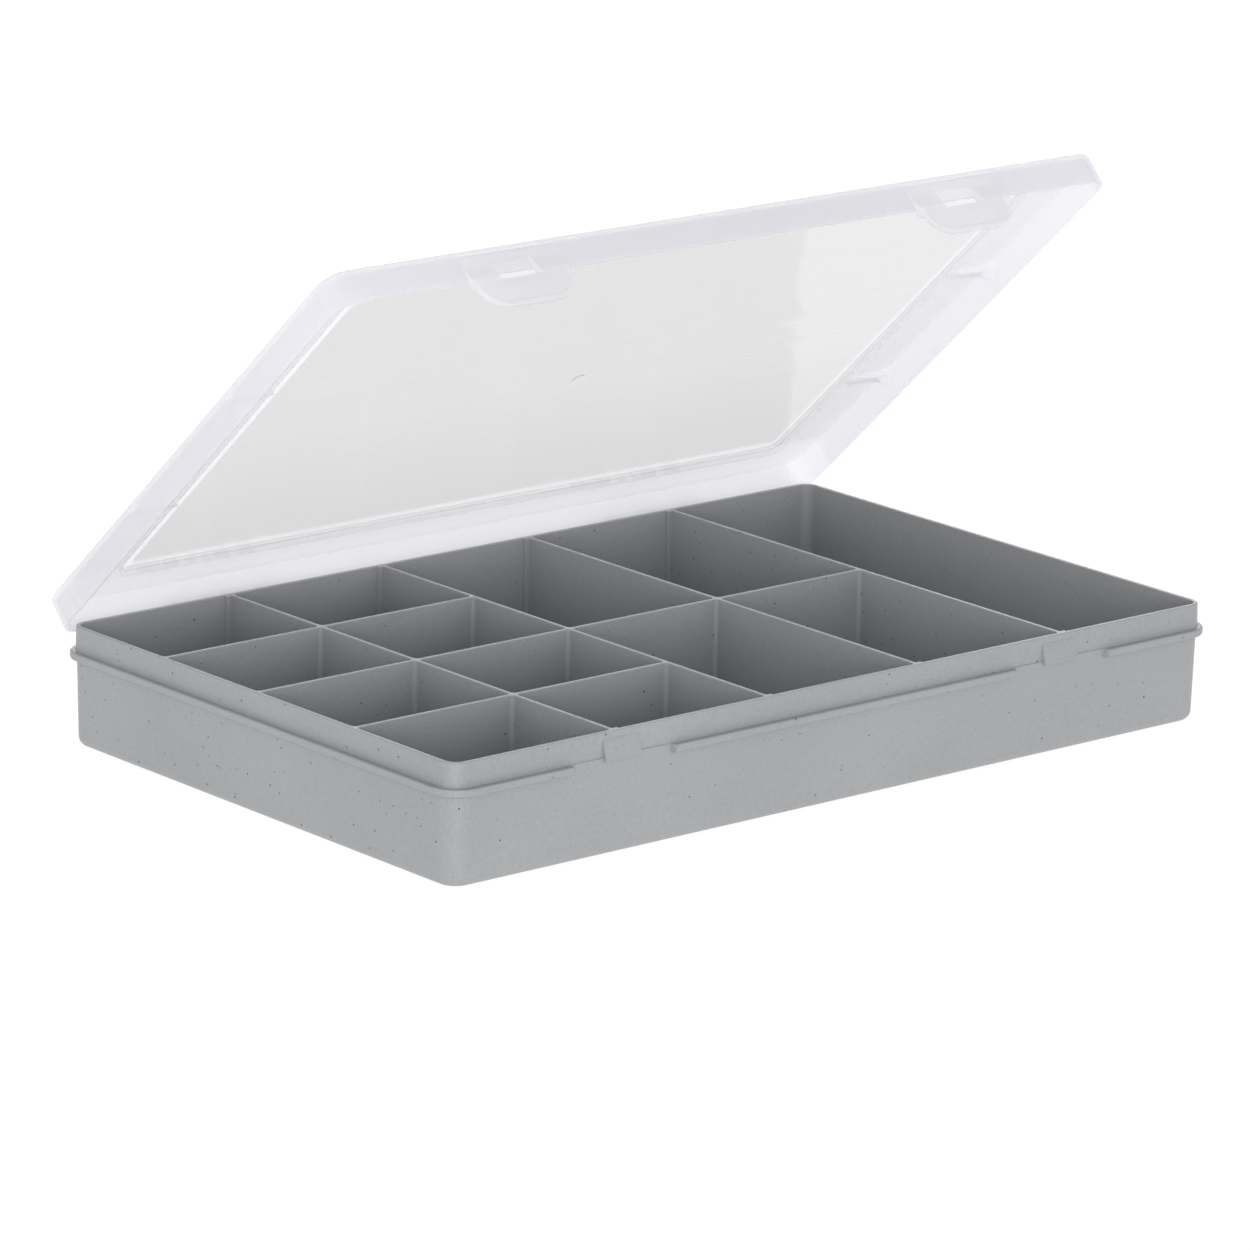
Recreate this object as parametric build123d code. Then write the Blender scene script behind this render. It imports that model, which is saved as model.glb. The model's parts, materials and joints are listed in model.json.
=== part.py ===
from build123d import *
import os

# A flat organiser box of the kind sold for fishing tackle, lures and small parts.
# A grey tray with fixed dividers carries a translucent lid on two clip-on hinges,
# and two sprung pull tabs on the lid snap over wedges on the tray's front wall.
# Millimetres. The origin is the centre of the tray's underside, +X runs along the
# box from left to right, the front is at -Y, the hinge side at +Y, and +Z is up.

# Tray walls. Every offset is measured outwards from the inside of the rim.
MOUTH_LENGTH, MOUTH_DEPTH, MOUTH_RADIUS = 283.0, 174.4, 3.4
HALF_L, HALF_D = MOUTH_LENGTH / 2, MOUTH_DEPTH / 2
RIM_TOP = 36.0
FLOOR_THICKNESS = 1.6
RIM_WALL_TOP, RIM_WALL_FOOT, RIM_RADIUS = 1.4, 1.6, 5.0
BODY_WALL_TOP, BODY_WALL_FOOT, BODY_RADIUS = 2.0, 1.4, 7.5
BOTTOM_FILLET = 2.8

# Ledge round the outside, which the closed lid's edge meets.
LEDGE_TOP, LEDGE_BOTTOM, LEDGE_ROOT = 28.8, 26.5, 25.9
LEDGE_OUT, LEDGE_RADIUS = 4.0, 9.5
FITTING_X = 83.3                  # latches and hinges stand this far from the middle
LEDGE_GAP = 36.5                  # break in the front ledge for a pull tab

# Dividers, moulded with a little draft.
COLUMNS, ROWS = 5, 4
DIVIDER_TOP, DIVIDER_FOOT = 1.2, 2.0
POST_WIDTH, POST_DEPTH = 1.8, 1.0  # small post where a long divider meets a wall

# Latch wedge on the front wall.
CATCH_WIDTH, CATCH_TOP, CATCH_BOTTOM, CATCH_OUT = 13.0, 34.0, 27.8, 3.1
CATCH_NOSE, CATCH_LIP = 0.1, 0.8

# Hinge: lugs and a pin on the tray, open claws on the lid.
HINGE_Y, HINGE_Z = HALF_D + 8.0, 28.4
PIN_RADIUS, LUG_RADIUS, CLAW_RADIUS = 1.5, 2.7, 3.0
PIN_CLEARANCE = 0.08
CLAW_PLACES, CLAW_WIDTH, CLAW_MOUTH = (-15.7, -2.8, 2.8, 15.7), 2.8, 2.5
ARM_BOTTOM, ARM_TOP = 29.2, 35.0   # where a claw's arm joins the back skirt
LUG_PLACES, LUG_WIDTH, LUG_ROOT = (-18.7, -9.25, 9.25, 18.7), 2.5, 20.5
LUG_TIP_OUT, LUG_TIP_RISE = 0.6, 0.1

# Lid, in its closed place.
LID_TOP, LID_OUT, LID_RADIUS = 39.3, 3.5, 8.0
BORDER_THICKNESS, SKIRT_THICKNESS, LID_EDGE_FILLET = 1.2, 1.1, 1.4
BORDER_UNDER = LID_TOP - BORDER_THICKNESS
SKIRT_IN = LID_OUT - SKIRT_THICKNESS
SKIRT_BOTTOM = LEDGE_TOP + 0.2
WINDOW_HALF_L, WINDOW_HALF_D, WINDOW_RADIUS = HALF_L - 14.8, HALF_D - 13.0, 3.0
WINDOW_UNDER = RIM_TOP + 0.25
WINDOW_THICKNESS = 1.2
LIP_WIDTH = 1.2
GUSSET_PLACES, GUSSET_WIDTH, GUSSET_STRIP, GUSSET_FOOT = (-27.0, 34.0), 5.2, 0.5, 33.0

# Pull tab with its latch hole, a flexing part of the lid's front skirt. It swells outwards
# from TAB_SWELL_TOP down to TAB_SWELL_FOOT, so that a finger can catch its lower edge.
TAB_WIDTH, TAB_BOTTOM, TAB_TOP, TAB_CORNER = 34.4, 18.6, 37.0, 9.0
TAB_SWELL, TAB_SWELL_TOP, TAB_SWELL_FOOT, TAB_INNER_FOOT = 2.0, 34.6, 27.0, 25.5
TAB_SIDE_GAP, TAB_TOP_GAP = 0.25, 0.3
BEAD_WIDTH, BEAD_OUT = 1.8, 0.5
HOLE_BOTTOM, HOLE_TOP, HOLE_WIDE, HOLE_NARROW = 27.5, 34.4, 14.8, 13.8

# Blocks that only cut or split others reach this far past them, and a piece that is
# joined to a wall starts this far inside the wall.
PAST, TALL, SUNK = 10.0, 60.0, 0.5

# How far the lid stands open at rest, and the hinge it turns about.
LID_OPEN = 43.0
HINGE_AXIS = Axis((0, HINGE_Y, HINGE_Z), (1, 0, 0))

SIDES = ("front", "back", "left", "right")
HANDS = {"left": -FITTING_X, "right": FITTING_X}


def save(node, *solids):
    """Write one node's solids to its own file."""
    shape = solids[0] if len(solids) == 1 else Compound(children=list(solids))
    export_step(shape, f"parts/{node}.step")


def outline(offset, radius, z):
    """A rounded rectangle this far outside the mouth, at height z."""
    return Plane.XY.offset(z) * RectangleRounded(MOUTH_LENGTH + 2 * offset, MOUTH_DEPTH + 2 * offset, radius)


def prism(offset, radius, low, high):
    """A straight block with the outline's plan, from low to high."""
    return extrude(outline(offset, radius, low), high - low)


def drafted(offset_low, low, offset_high, high, radius):
    """A block with the outline's plan whose four sides lean a little."""
    low_radius = radius - offset_high + offset_low
    return loft([outline(offset_low, low_radius, low), outline(offset_high, radius, high)], ruled=True)


def box(x0, x1, y0, y1, z0, z1):
    """A block given by its two corners."""
    return Pos((x0 + x1) / 2, (y0 + y1) / 2, (z0 + z1) / 2) * Box(x1 - x0, y1 - y0, z1 - z0)


def along_x(points, x0, x1):
    """A (y, z) outline carried along X."""
    face = make_face(Plane.YZ.offset(x0) * Polyline(*points, close=True))
    return extrude(face, x1 - x0, dir=(1, 0, 0))


def along_y(points, y0, y1):
    """An (x, z) outline carried along Y."""
    corners = [(x, y0, z) for x, z in points]
    return extrude(make_face(Polyline(*corners, close=True)), y1 - y0, dir=(0, 1, 0))


def corner_sector(side, reach=3 * PAST, inset=6 * PAST):
    """The quarter of the plan that belongs to one side, split at 45 degrees in the corners."""
    far_x, far_y = HALF_L + reach, HALF_D + reach
    near_x, near_y = HALF_L - inset, HALF_D - inset
    plans = {
        "front": [(-far_x, -far_y), (far_x, -far_y), (near_x, -near_y), (-near_x, -near_y)],
        "back": [(-far_x, far_y), (-near_x, near_y), (near_x, near_y), (far_x, far_y)],
        "left": [(-far_x, -far_y), (-near_x, -near_y), (-near_x, near_y), (-far_x, far_y)],
        "right": [(far_x, -far_y), (far_x, far_y), (near_x, near_y), (near_x, -near_y)],
    }
    return extrude(make_face(Polyline(*plans[side], close=True)), TALL)


def body_outside():
    """The tray's outside below the ledge, as a full block with its rounded bottom edge."""
    block = drafted(BODY_WALL_FOOT, 0, BODY_WALL_TOP, LEDGE_TOP, BODY_RADIUS)
    return fillet(block.edges().group_by(Axis.Z)[0], BOTTOM_FILLET)


def tray_outside():
    """Body and the slightly narrower rim above the ledge."""
    rim_foot_radius = RIM_RADIUS + RIM_WALL_FOOT - RIM_WALL_TOP
    rim = loft(
        [outline(RIM_WALL_FOOT, rim_foot_radius, LEDGE_TOP), outline(RIM_WALL_TOP, RIM_RADIUS, RIM_TOP)],
        ruled=True,
    )
    return body_outside() + rim


def make_tray_walls():
    """Floor plate and the four walls that stand round it."""
    inside = prism(0, MOUTH_RADIUS, 0, RIM_TOP)
    shell = tray_outside()
    save("tray_floor", shell & prism(0, MOUTH_RADIUS, 0, FLOOR_THICKNESS))
    ring = shell - inside
    for side in SIDES:
        save(f"tray_{side}_wall", (ring & corner_sector(side)).solid())


def make_ledge():
    """The ledge as one run a side, the front one broken where the pull tabs hang."""
    top = prism(LEDGE_OUT, LEDGE_RADIUS, LEDGE_BOTTOM, LEDGE_TOP)
    under = loft(
        [outline(BODY_WALL_TOP, BODY_RADIUS, LEDGE_ROOT), outline(LEDGE_OUT, LEDGE_RADIUS, LEDGE_BOTTOM)],
        ruled=True,
    )
    ledge = top + under - body_outside()
    for x in HANDS.values():
        half = LEDGE_GAP / 2
        ledge -= box(x - half, x + half, -HALF_D - PAST, -HALF_D, LEDGE_ROOT - PAST, LEDGE_TOP + PAST)
    for side in SIDES:
        save(f"lid_ledge_{side}", *(ledge & corner_sector(side)).solids())
    return ledge


def column_edges():
    """Centres of the long dividers, which leave five equal columns."""
    clear = (MOUTH_LENGTH - (COLUMNS - 1) * DIVIDER_TOP) / COLUMNS
    return [-HALF_L + k * clear + (k - 0.5) * DIVIDER_TOP for k in range(1, COLUMNS)]


def row_edges():
    """Centres of the short dividers, which leave four equal rows."""
    clear = (MOUTH_DEPTH - (ROWS - 1) * DIVIDER_TOP) / ROWS
    return [-HALF_D + k * clear + (k - 0.5) * DIVIDER_TOP for k in range(1, ROWS)]


def divider_section(centre):
    """Section of a divider: thin at the top, thicker where it meets the floor."""
    top, foot = DIVIDER_TOP / 2, DIVIDER_FOOT / 2
    return [
        (centre - foot, FLOOR_THICKNESS),
        (centre + foot, FLOOR_THICKNESS),
        (centre + top, RIM_TOP),
        (centre - top, RIM_TOP),
    ]


def make_dividers():
    """Long dividers from front to back, and short ones between them."""
    long_dividers, posts = [], []
    for number, x in enumerate(column_edges(), 1):
        plate = along_y(divider_section(x), -HALF_D, HALF_D)
        save(f"long_divider_{number}", plate)
        long_dividers.append(plate)
        reach = DIVIDER_TOP / 2 + POST_WIDTH
        back_post = box(x - reach, x, HALF_D - POST_DEPTH, HALF_D, FLOOR_THICKNESS, RIM_TOP)
        front_post = box(x, x + reach, -HALF_D, -HALF_D + POST_DEPTH, FLOOR_THICKNESS, RIM_TOP)
        posts += [(back_post - plate).solid(), (front_post - plate).solid()]
    save("divider_posts", *posts)
    stops = [-HALF_L] + column_edges() + [HALF_L]
    for row, y in zip(("front", "middle", "rear"), row_edges()):
        columns = COLUMNS - 1 if row == "middle" else 2
        for column in range(columns):
            plate = along_x(divider_section(y), stops[column], stops[column + 1])
            for neighbour in long_dividers:
                plate = plate - neighbour
            save(f"{row}_row_divider_{column + 1}", plate.solid())


def make_catches():
    """Wedges with a flat underside that the lid's latch holes snap over."""
    shell = tray_outside()
    for hand, x in HANDS.items():
        wedge = [
            (-HALF_D - RIM_WALL_TOP + SUNK, CATCH_TOP),
            (-HALF_D - RIM_WALL_TOP - CATCH_NOSE, CATCH_TOP),
            (-HALF_D - CATCH_OUT, CATCH_BOTTOM + CATCH_LIP),
            (-HALF_D - CATCH_OUT, CATCH_BOTTOM),
            (-HALF_D - RIM_WALL_TOP + SUNK, CATCH_BOTTOM),
        ]
        solid = along_x(wedge, x - CATCH_WIDTH / 2, x + CATCH_WIDTH / 2) - shell
        save(f"latch_catch_{hand}", solid.solid())


def pin_cylinder(radius, x0, x1):
    """A round bar along the hinge line."""
    return Pos((x0 + x1) / 2, HINGE_Y, HINGE_Z) * Rot(0, 90, 0) * Cylinder(radius, x1 - x0)


def make_hinge_lugs(ledge):
    """Four lugs and one moulded pin for each hinge, on the tray's back wall."""
    spans = [(place - LUG_WIDTH / 2, place + LUG_WIDTH / 2) for place in LUG_PLACES]
    web = [
        (HALF_D + SUNK, LUG_ROOT),
        (HINGE_Y + LUG_TIP_OUT, HINGE_Z - LUG_RADIUS + LUG_TIP_RISE),
        (HINGE_Y, HINGE_Z),
        (HALF_D + SUNK, LEDGE_TOP),
    ]
    outside = tray_outside()
    for hand, x in HANDS.items():
        pin = pin_cylinder(PIN_RADIUS, x + spans[0][0], x + spans[-1][1])
        lugs = []
        for low, high in spans:
            lug = along_x(web, x + low, x + high) + pin_cylinder(LUG_RADIUS, x + low, x + high)
            lugs.append((lug - outside - ledge - pin).solid())
        save(f"hinge_lugs_{hand}", *lugs)
        save(f"hinge_pin_{hand}", pin)


def opened(solid):
    """Turn a closed lid's part to the angle that the lid rests at."""
    return solid.rotate(HINGE_AXIS, -LID_OPEN)


def lid_shell():
    """The lid's border and skirt as one ring, still closed and uncut."""
    outside = prism(LID_OUT, LID_RADIUS, SKIRT_BOTTOM, LID_TOP)
    outside = fillet(outside.edges().group_by(Axis.Z)[-1], LID_EDGE_FILLET)
    return outside - prism(SKIRT_IN, LID_RADIUS - SKIRT_THICKNESS, SKIRT_BOTTOM, BORDER_UNDER)


def window_block(grow, low, high):
    """A block with the window's plan, grown by this much."""
    plan = RectangleRounded(2 * (WINDOW_HALF_L + grow), 2 * (WINDOW_HALF_D + grow), WINDOW_RADIUS + grow)
    return extrude(Plane.XY.offset(low) * plan, high - low)


def tab_outline(shrink=0.0):
    """Front view of a pull tab: straight sides and a rounded lower edge."""
    width = TAB_WIDTH - 2 * shrink
    low, high = TAB_BOTTOM + shrink, TAB_TOP
    plate = Pos(0, (low + high) / 2) * Rectangle(width, high - low)
    return fillet(plate.vertices().group_by(Axis.Y)[0], TAB_CORNER - shrink)


def front_plate(sketch, x, offset_in, offset_out):
    """An (x, z) sketch as a plate in the lid's front skirt."""
    plane = Plane(origin=(x, -HALF_D - offset_in, 0), x_dir=(1, 0, 0), z_dir=(0, -1, 0))
    return extrude(plane * sketch, offset_out - offset_in)


def swollen(x, grow):
    """The pull tab's section carried along X, with its outer face grown outwards by this much."""
    section = [
        (SKIRT_IN, TAB_TOP),
        (LID_OUT + grow, TAB_TOP),
        (LID_OUT + grow, TAB_SWELL_TOP),
        (LID_OUT + TAB_SWELL + grow, TAB_SWELL_FOOT),
        (LID_OUT + TAB_SWELL + grow, TAB_BOTTOM),
        (SKIRT_IN + TAB_SWELL, TAB_BOTTOM),
        (SKIRT_IN + TAB_SWELL, TAB_INNER_FOOT),
        (SKIRT_IN, HOLE_BOTTOM),
    ]
    points = [(-HALF_D - out, z) for out, z in section]
    return along_x(points, x - TAB_WIDTH / 2, x + TAB_WIDTH / 2)


def make_lid_panels():
    """Clear window, the frosted border round it and the skirt below the border."""
    window = window_block(0, WINDOW_UNDER, WINDOW_UNDER + WINDOW_THICKNESS)
    save("lid_window", opened(window))
    shell = lid_shell()
    lip = window_block(LIP_WIDTH, WINDOW_UNDER, BORDER_UNDER) - window_block(0, WINDOW_UNDER, BORDER_UNDER)
    inner_plan = prism(SKIRT_IN, LID_RADIUS - SKIRT_THICKNESS, SKIRT_BOTTOM, LID_TOP)
    border = (shell & inner_plan) - window_block(0, BORDER_UNDER, LID_TOP) + lip
    skirt = shell - inner_plan
    for x in HANDS.values():
        half = TAB_WIDTH / 2 + TAB_SIDE_GAP
        top = TAB_TOP + TAB_TOP_GAP
        skirt -= box(x - half, x + half, -HALF_D - PAST, -HALF_D, SKIRT_BOTTOM - PAST, top)
    for side in SIDES:
        sector = corner_sector(side)
        save(f"lid_border_{side}", opened((border & sector).solid()))
        save(f"lid_skirt_{side}", opened((skirt & sector).solid()))


def make_gussets():
    """Small stiffening ribs between the side skirts and the window's edge."""
    ribs = []
    for sx in (-1, 1):
        apex_x, root_x = sx * (WINDOW_HALF_L + LIP_WIDTH), sx * (HALF_L + SKIRT_IN)
        for y in GUSSET_PLACES:
            half = GUSSET_WIDTH / 2
            plan = Polyline((apex_x, y), (root_x, y - half), (root_x, y + half), close=True)
            rib = extrude(Plane.XY.offset(WINDOW_UNDER) * make_face(plan), BORDER_UNDER - WINDOW_UNDER)
            strip_x = sorted((root_x, root_x - sx * GUSSET_STRIP))
            rib = rib + box(*strip_x, y - half, y + half, GUSSET_FOOT, BORDER_UNDER)
            ribs.append(opened(rib.solid()))
    save("lid_gussets", *ribs)


def make_claws():
    """Open claws on the back skirt that clip on the hinge pins."""
    arm = [
        (HALF_D + LID_OUT, ARM_BOTTOM),
        (HALF_D + LID_OUT, ARM_TOP),
        (HINGE_Y, HINGE_Z + CLAW_RADIUS),
        (HINGE_Y, ARM_BOTTOM),
    ]
    for hand, x in HANDS.items():
        for number, place in enumerate(CLAW_PLACES, 1):
            low, high = x + place - CLAW_WIDTH / 2, x + place + CLAW_WIDTH / 2
            claw = pin_cylinder(CLAW_RADIUS, low, high) + along_x(arm, low, high)
            claw -= pin_cylinder(PIN_RADIUS + PIN_CLEARANCE, low, high)
            mouth = CLAW_MOUTH / 2
            claw -= box(low, high, HINGE_Y - mouth, HINGE_Y + mouth, HINGE_Z - PAST, HINGE_Z)
            save(f"hinge_claw_{hand}_{number}", opened(claw.solid()))


def make_pull_tabs():
    """Pull tabs with a thickened lower edge and the hole that hooks the wedge."""
    hole = make_face(
        Polyline(
            (-HOLE_WIDE / 2, HOLE_BOTTOM),
            (HOLE_WIDE / 2, HOLE_BOTTOM),
            (HOLE_NARROW / 2, HOLE_TOP),
            (-HOLE_NARROW / 2, HOLE_TOP),
            close=True,
        )
    )
    bead = tab_outline() - tab_outline(BEAD_WIDTH)
    bead -= Pos(0, SKIRT_BOTTOM + TALL / 2) * Rectangle(TALL, TALL)
    for hand, x in HANDS.items():
        reach = LID_OUT + TAB_SWELL + BEAD_OUT
        tab = front_plate(tab_outline() - hole, x, SKIRT_IN, reach) & swollen(x, 0)
        tab += front_plate(bead, x, SKIRT_IN + TAB_SWELL, reach) & swollen(x, BEAD_OUT)
        save(f"pull_tab_{hand}", opened(tab.solid()))


os.makedirs("parts", exist_ok=True)
make_tray_walls()
make_dividers()
make_catches()
make_hinge_lugs(make_ledge())
make_lid_panels()
make_gussets()
make_claws()
make_pull_tabs()
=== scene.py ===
import json
import math

import bmesh
import bpy
from mathutils import Matrix, Vector
from mathutils.geometry import delaunay_2d_cdt


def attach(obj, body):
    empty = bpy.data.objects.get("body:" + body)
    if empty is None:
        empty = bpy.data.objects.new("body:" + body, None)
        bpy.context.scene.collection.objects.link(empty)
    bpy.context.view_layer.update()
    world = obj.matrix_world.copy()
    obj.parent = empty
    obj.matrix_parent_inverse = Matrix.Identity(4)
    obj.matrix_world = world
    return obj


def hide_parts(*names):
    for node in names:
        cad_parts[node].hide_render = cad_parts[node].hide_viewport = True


# A grey compartment tray with a translucent lid that stands open on its hinge.
# The tray and the lid are each one moulding, so each is built here as one smooth mesh
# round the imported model. Lengths are millimetres and are turned to metres in add_piece().
# The lid is built shut and then turned open about its hinge pins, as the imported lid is.

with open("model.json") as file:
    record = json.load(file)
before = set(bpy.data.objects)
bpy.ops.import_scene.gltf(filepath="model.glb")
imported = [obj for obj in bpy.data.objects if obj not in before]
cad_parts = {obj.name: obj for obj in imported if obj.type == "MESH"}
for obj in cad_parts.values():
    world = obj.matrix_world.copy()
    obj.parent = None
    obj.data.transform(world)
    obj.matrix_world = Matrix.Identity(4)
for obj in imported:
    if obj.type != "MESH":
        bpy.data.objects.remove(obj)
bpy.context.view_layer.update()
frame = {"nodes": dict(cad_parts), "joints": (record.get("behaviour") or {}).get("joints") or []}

MM = 0.001


def corners(node, undo=Matrix.Identity(4)):
    """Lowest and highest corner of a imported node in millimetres, after undoing a turn."""
    points = [undo @ (v.co / MM) for v in frame["nodes"][node].data.vertices]
    low = Vector([min(p[k] for p in points) for k in range(3)])
    high = Vector([max(p[k] for p in points) for k in range(3)])
    return low, high


def nodes_named(start):
    """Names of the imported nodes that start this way, in order."""
    return sorted(name for name in frame["nodes"] if name.startswith(start))


# Hinge line, and the turn that takes the lid from shut to where it rests.
hinge_joint = next(joint for joint in frame["joints"] if joint["name"] == "lid_hinge")
pin_low, pin_high = corners("hinge_pin_left")
HINGE_Y, HINGE_Z = (pin_low.y + pin_high.y) / 2, (pin_low.z + pin_high.z) / 2
PIN_RADIUS = (pin_high.z - pin_low.z) / 2
PIN_HALF = (pin_high.x - pin_low.x) / 2
hinge_line = Vector((0, HINGE_Y, HINGE_Z))
OPEN = (
    Matrix.Translation(hinge_line)
    @ Matrix.Rotation(math.radians(hinge_joint["range_deg"][0]), 4, "X")
    @ Matrix.Translation(-hinge_line)
)
SHUT = OPEN.inverted()
OPEN_METRES = Matrix.Scale(MM, 4) @ OPEN @ Matrix.Scale(1 / MM, 4)
SHUT_METRES = OPEN_METRES.inverted()

# Tray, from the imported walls, ledge and dividers.
floor_low, floor_high = corners("tray_floor")
wall_low, wall_high = corners("tray_left_wall")
ledge_low, ledge_high = corners("lid_ledge_left")
long_dividers = [corners(name) for name in nodes_named("long_divider_")]
HALF_L, HALF_D, FLOOR_TOP = floor_high.x, floor_high.y, floor_high.z
RIM_TOP = wall_high.z
BODY_OUT = -wall_low.x - HALF_L
LEDGE_OUT = -ledge_low.x - HALF_L
LEDGE_ROOT, LEDGE_TOP = ledge_low.z, ledge_high.z
LEDGE_SLOPE = 0.6
LEDGE_UNDER = LEDGE_ROOT + LEDGE_SLOPE
FITTING_X = -(pin_low.x + pin_high.x) / 2
LEDGE_GAP, GAP_RAMP, GAP_EASE, EASE_SHARE = 36.5, 0.4, 0.12, 0.18
BODY_FOOT, RIM_FOOT, RIM_EDGE = 1.4, 1.6, 1.4
MOUTH_RADIUS, RIM_RADIUS, BODY_RADIUS, LEDGE_RADIUS = 3.4, 5.0, 7.5, 9.5
BOTTOM_FILLET, LEDGE_ROUND, RIM_ROUND = 2.8, 0.55, 0.4
DIVIDER_TOP, DIVIDER_FOOT = 1.2, 2.0
DIVIDER_ROUND, POCKET_RADIUS, POCKET_FILLET = 0.28, 1.3, 1.0
POST_WIDTH, POST_DEPTH = 1.8, 1.0
CATCH_NOSE, CATCH_LIP = 0.9, 0.15

# Hinges: lugs that carry the pins, and the lid's claws, placed from the middle of each hinge.
LUG_PLACES, LUG_WIDTH, LUG_RADIUS = (-18.7, -9.25, 9.25, 18.7), 2.5, 2.7
PIN_CLEARANCE = 0.08
CLAW_RADIUS, CLAW_GRIP, CLAW_MOUTH = 3.0, PIN_RADIUS + PIN_CLEARANCE, 1.25
ARM_BOTTOM, ARM_TOP = 29.2, 35.0

# Lid, shut.
border_low, border_high = corners("lid_border_left", SHUT)
skirt_low, skirt_high = corners("lid_skirt_left", SHUT)
window_low, window_high = corners("lid_window", SHUT)
LID_TOP, LID_OUT = border_high.z, -skirt_low.x - HALF_L
SKIRT_BOTTOM = skirt_low.z
WINDOW_X, WINDOW_Y = window_high.x, window_high.y
WINDOW_UNDER, WINDOW_TOP = window_low.z, window_high.z
BORDER_THICKNESS, SKIRT_THICKNESS, LIP_WIDTH = 1.2, 1.1, 1.2
PANE_EDGE = 0.5
GATE_RADIUS, GATE_RISE, GATE_SINK = 2.3, 0.5, 0.3
BORDER_UNDER, SKIRT_IN = LID_TOP - BORDER_THICKNESS, LID_OUT - SKIRT_THICKNESS
LID_RADIUS, LID_FILLET, WINDOW_RADIUS = 8.0, 1.4, 3.0
rib_low, rib_high = corners("lid_gussets", SHUT)
RIB_WIDTH, RIB_SIDE, RIB_FOOT = 5.2, 35.3, rib_low.z
RIB_PLACES = (rib_low.y + RIB_WIDTH / 2, rib_high.y - RIB_WIDTH / 2)

# Pull tabs.
tab_low, tab_high = corners("pull_tab_left", SHUT)
TAB_LOW, TAB_HIGH, TAB_HALF = tab_low.z, tab_high.z, (tab_high.x - tab_low.x) / 2
TAB_CORNER, BEAD_WIDTH, BEAD_OUT = 9.0, 1.8, 0.5
TAB_SWELL = -tab_low.y - HALF_D - LID_OUT - BEAD_OUT
SWELL_TOP, SWELL_FOOT, INNER_TOP, INNER_FOOT = 34.6, 27.0, 27.9, 25.1
HOLE_LOW, HOLE_HIGH, HOLE_WIDE, HOLE_NARROW = 27.5, 34.4, 14.8, 13.8
TAB_SEAM, TAB_TOP_SEAM, TAB_LEVELS = 0.02, 0.1, 14

# Small rounds, and how far one piece starts inside another that it is joined to.
EDGE_ROUND, STEP_ROUND, INNER_ROUND, PANE_ROUND = 0.22, 0.4, 0.9, 0.15
WALL_SINK, POST_SINK = 0.3, 0.4
HAIR = 0.02
CORNER_STEPS, ARC_STEPS = 10, 5

# Colours of the plastics.
GREY_LOW, GREY_HIGH = (0.276, 0.282, 0.290, 1), (0.292, 0.298, 0.307, 1)
DARK_SPECK, DIM_SPECK = (0.045, 0.05, 0.055, 1), (0.19, 0.2, 0.21, 1)
PALE_SPECK = (0.42, 0.43, 0.44, 1)
MILK_LOW, MILK_HIGH = (0.885, 0.880, 0.915, 1), (0.905, 0.900, 0.93, 1)
# Painted shade: a greyer milk for the lid's back skirt.
BACK_SKIRT_SHADE_MILK = (0.86, 0.86, 0.87, 1)
TAB_MILK = (0.975, 0.97, 0.99, 1)
EDGE_MILK = (0.97, 0.97, 0.985, 1)
# The clear pane's tints. The darker one is painted shade towards the pane's hinge end.
CLEAR_SHADED, CLEAR_HIGH = (0.850, 0.848, 0.856, 1), (0.896, 0.894, 0.896, 1)

# Specks in the grey: spacing and size in metres, and the share of places that hold one.
PALE_SPECKS = (0.0024, 0.00024, 0.5)
DIM_SPECKS = (0.0019, 0.00020, 0.6)
DARK_SPECKS = (0.0034, 0.00038, 0.9)

# How milky each frosted surface is, with painted light that clears the lid's back border and painted shade
# that clouds its back skirt.
LID_HAZE, TAB_HAZE = 0.5, 0.48
BACK_BORDER_LIGHT_HAZE, BACK_SKIRT_SHADE_HAZE = -0.16, 0.26

# Surroundings, in metres, watts and degrees.
FLOOR_HALF, FLOOR_DROP, FLOOR_GLOW = 6.0, 0.0002, 0.92
HORIZON_STRENGTH, ZENITH_STRENGTH = 1.3, 0.4
SOFT_BOXES = {
    "top_soft_box": {"place": (0.1, 0.2, 1.6), "size": 1.4, "power": 2.0},
    "back_soft_box": {"place": (1.1, 1.3, 0.7), "size": 1.0, "power": 6.0},
    "front_soft_box": {"place": (-1.1, -1.4, 0.35), "size": 0.7, "power": 13.0},
}
CAMERA_PLACE = Vector((-1.3062, -1.5238, 0.5868))
CAMERA_HEADING, CAMERA_DROP, CAMERA_ROLL = 40.449, 15.446, 1.226
CAMERA_LENS, SENSOR_WIDTH = 204.62, 36.0


# ---------------------------------------------------------------- mesh tools

def ring(half_x, half_y, radius, z, front=()):
    """A loop of points round a rounded rectangle, with extra points on its front run."""
    loop = [Vector((x, -half_y, z)) for x in front]
    loop += corner_arcs(-half_x, half_x, -half_y, half_y, [radius] * 4, z)
    return loop


def corner_arcs(x0, x1, y0, y1, radii, z):
    """The four corner arcs of a rounded rectangle, from the front-right one anticlockwise."""
    loop = []
    centres = [(x1, y0, -1, 1), (x1, y1, -1, -1), (x0, y1, 1, -1), (x0, y0, 1, 1)]
    for turn, (x, y, sx, sy) in enumerate(centres):
        radius = radii[turn]
        for step in range(CORNER_STEPS + 1):
            angle = math.radians(90 * (turn - 1 + step / CORNER_STEPS))
            across, along = radius * math.cos(angle), radius * math.sin(angle)
            loop.append(Vector((x + sx * radius + across, y + sy * radius + along, z)))
    return loop


def skin(bm, rings, close=False):
    """Faces between neighbouring loops of points, which all have the same count."""
    loops = [[bm.verts.new(point) for point in points] for points in rings]
    followers = loops[1:] + loops[:1] if close else loops[1:]
    for here, there in zip(loops, followers):
        for i in range(len(here)):
            j = (i + 1) % len(here)
            bm.faces.new((here[i], here[j], there[j], there[i]))
    return loops


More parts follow.
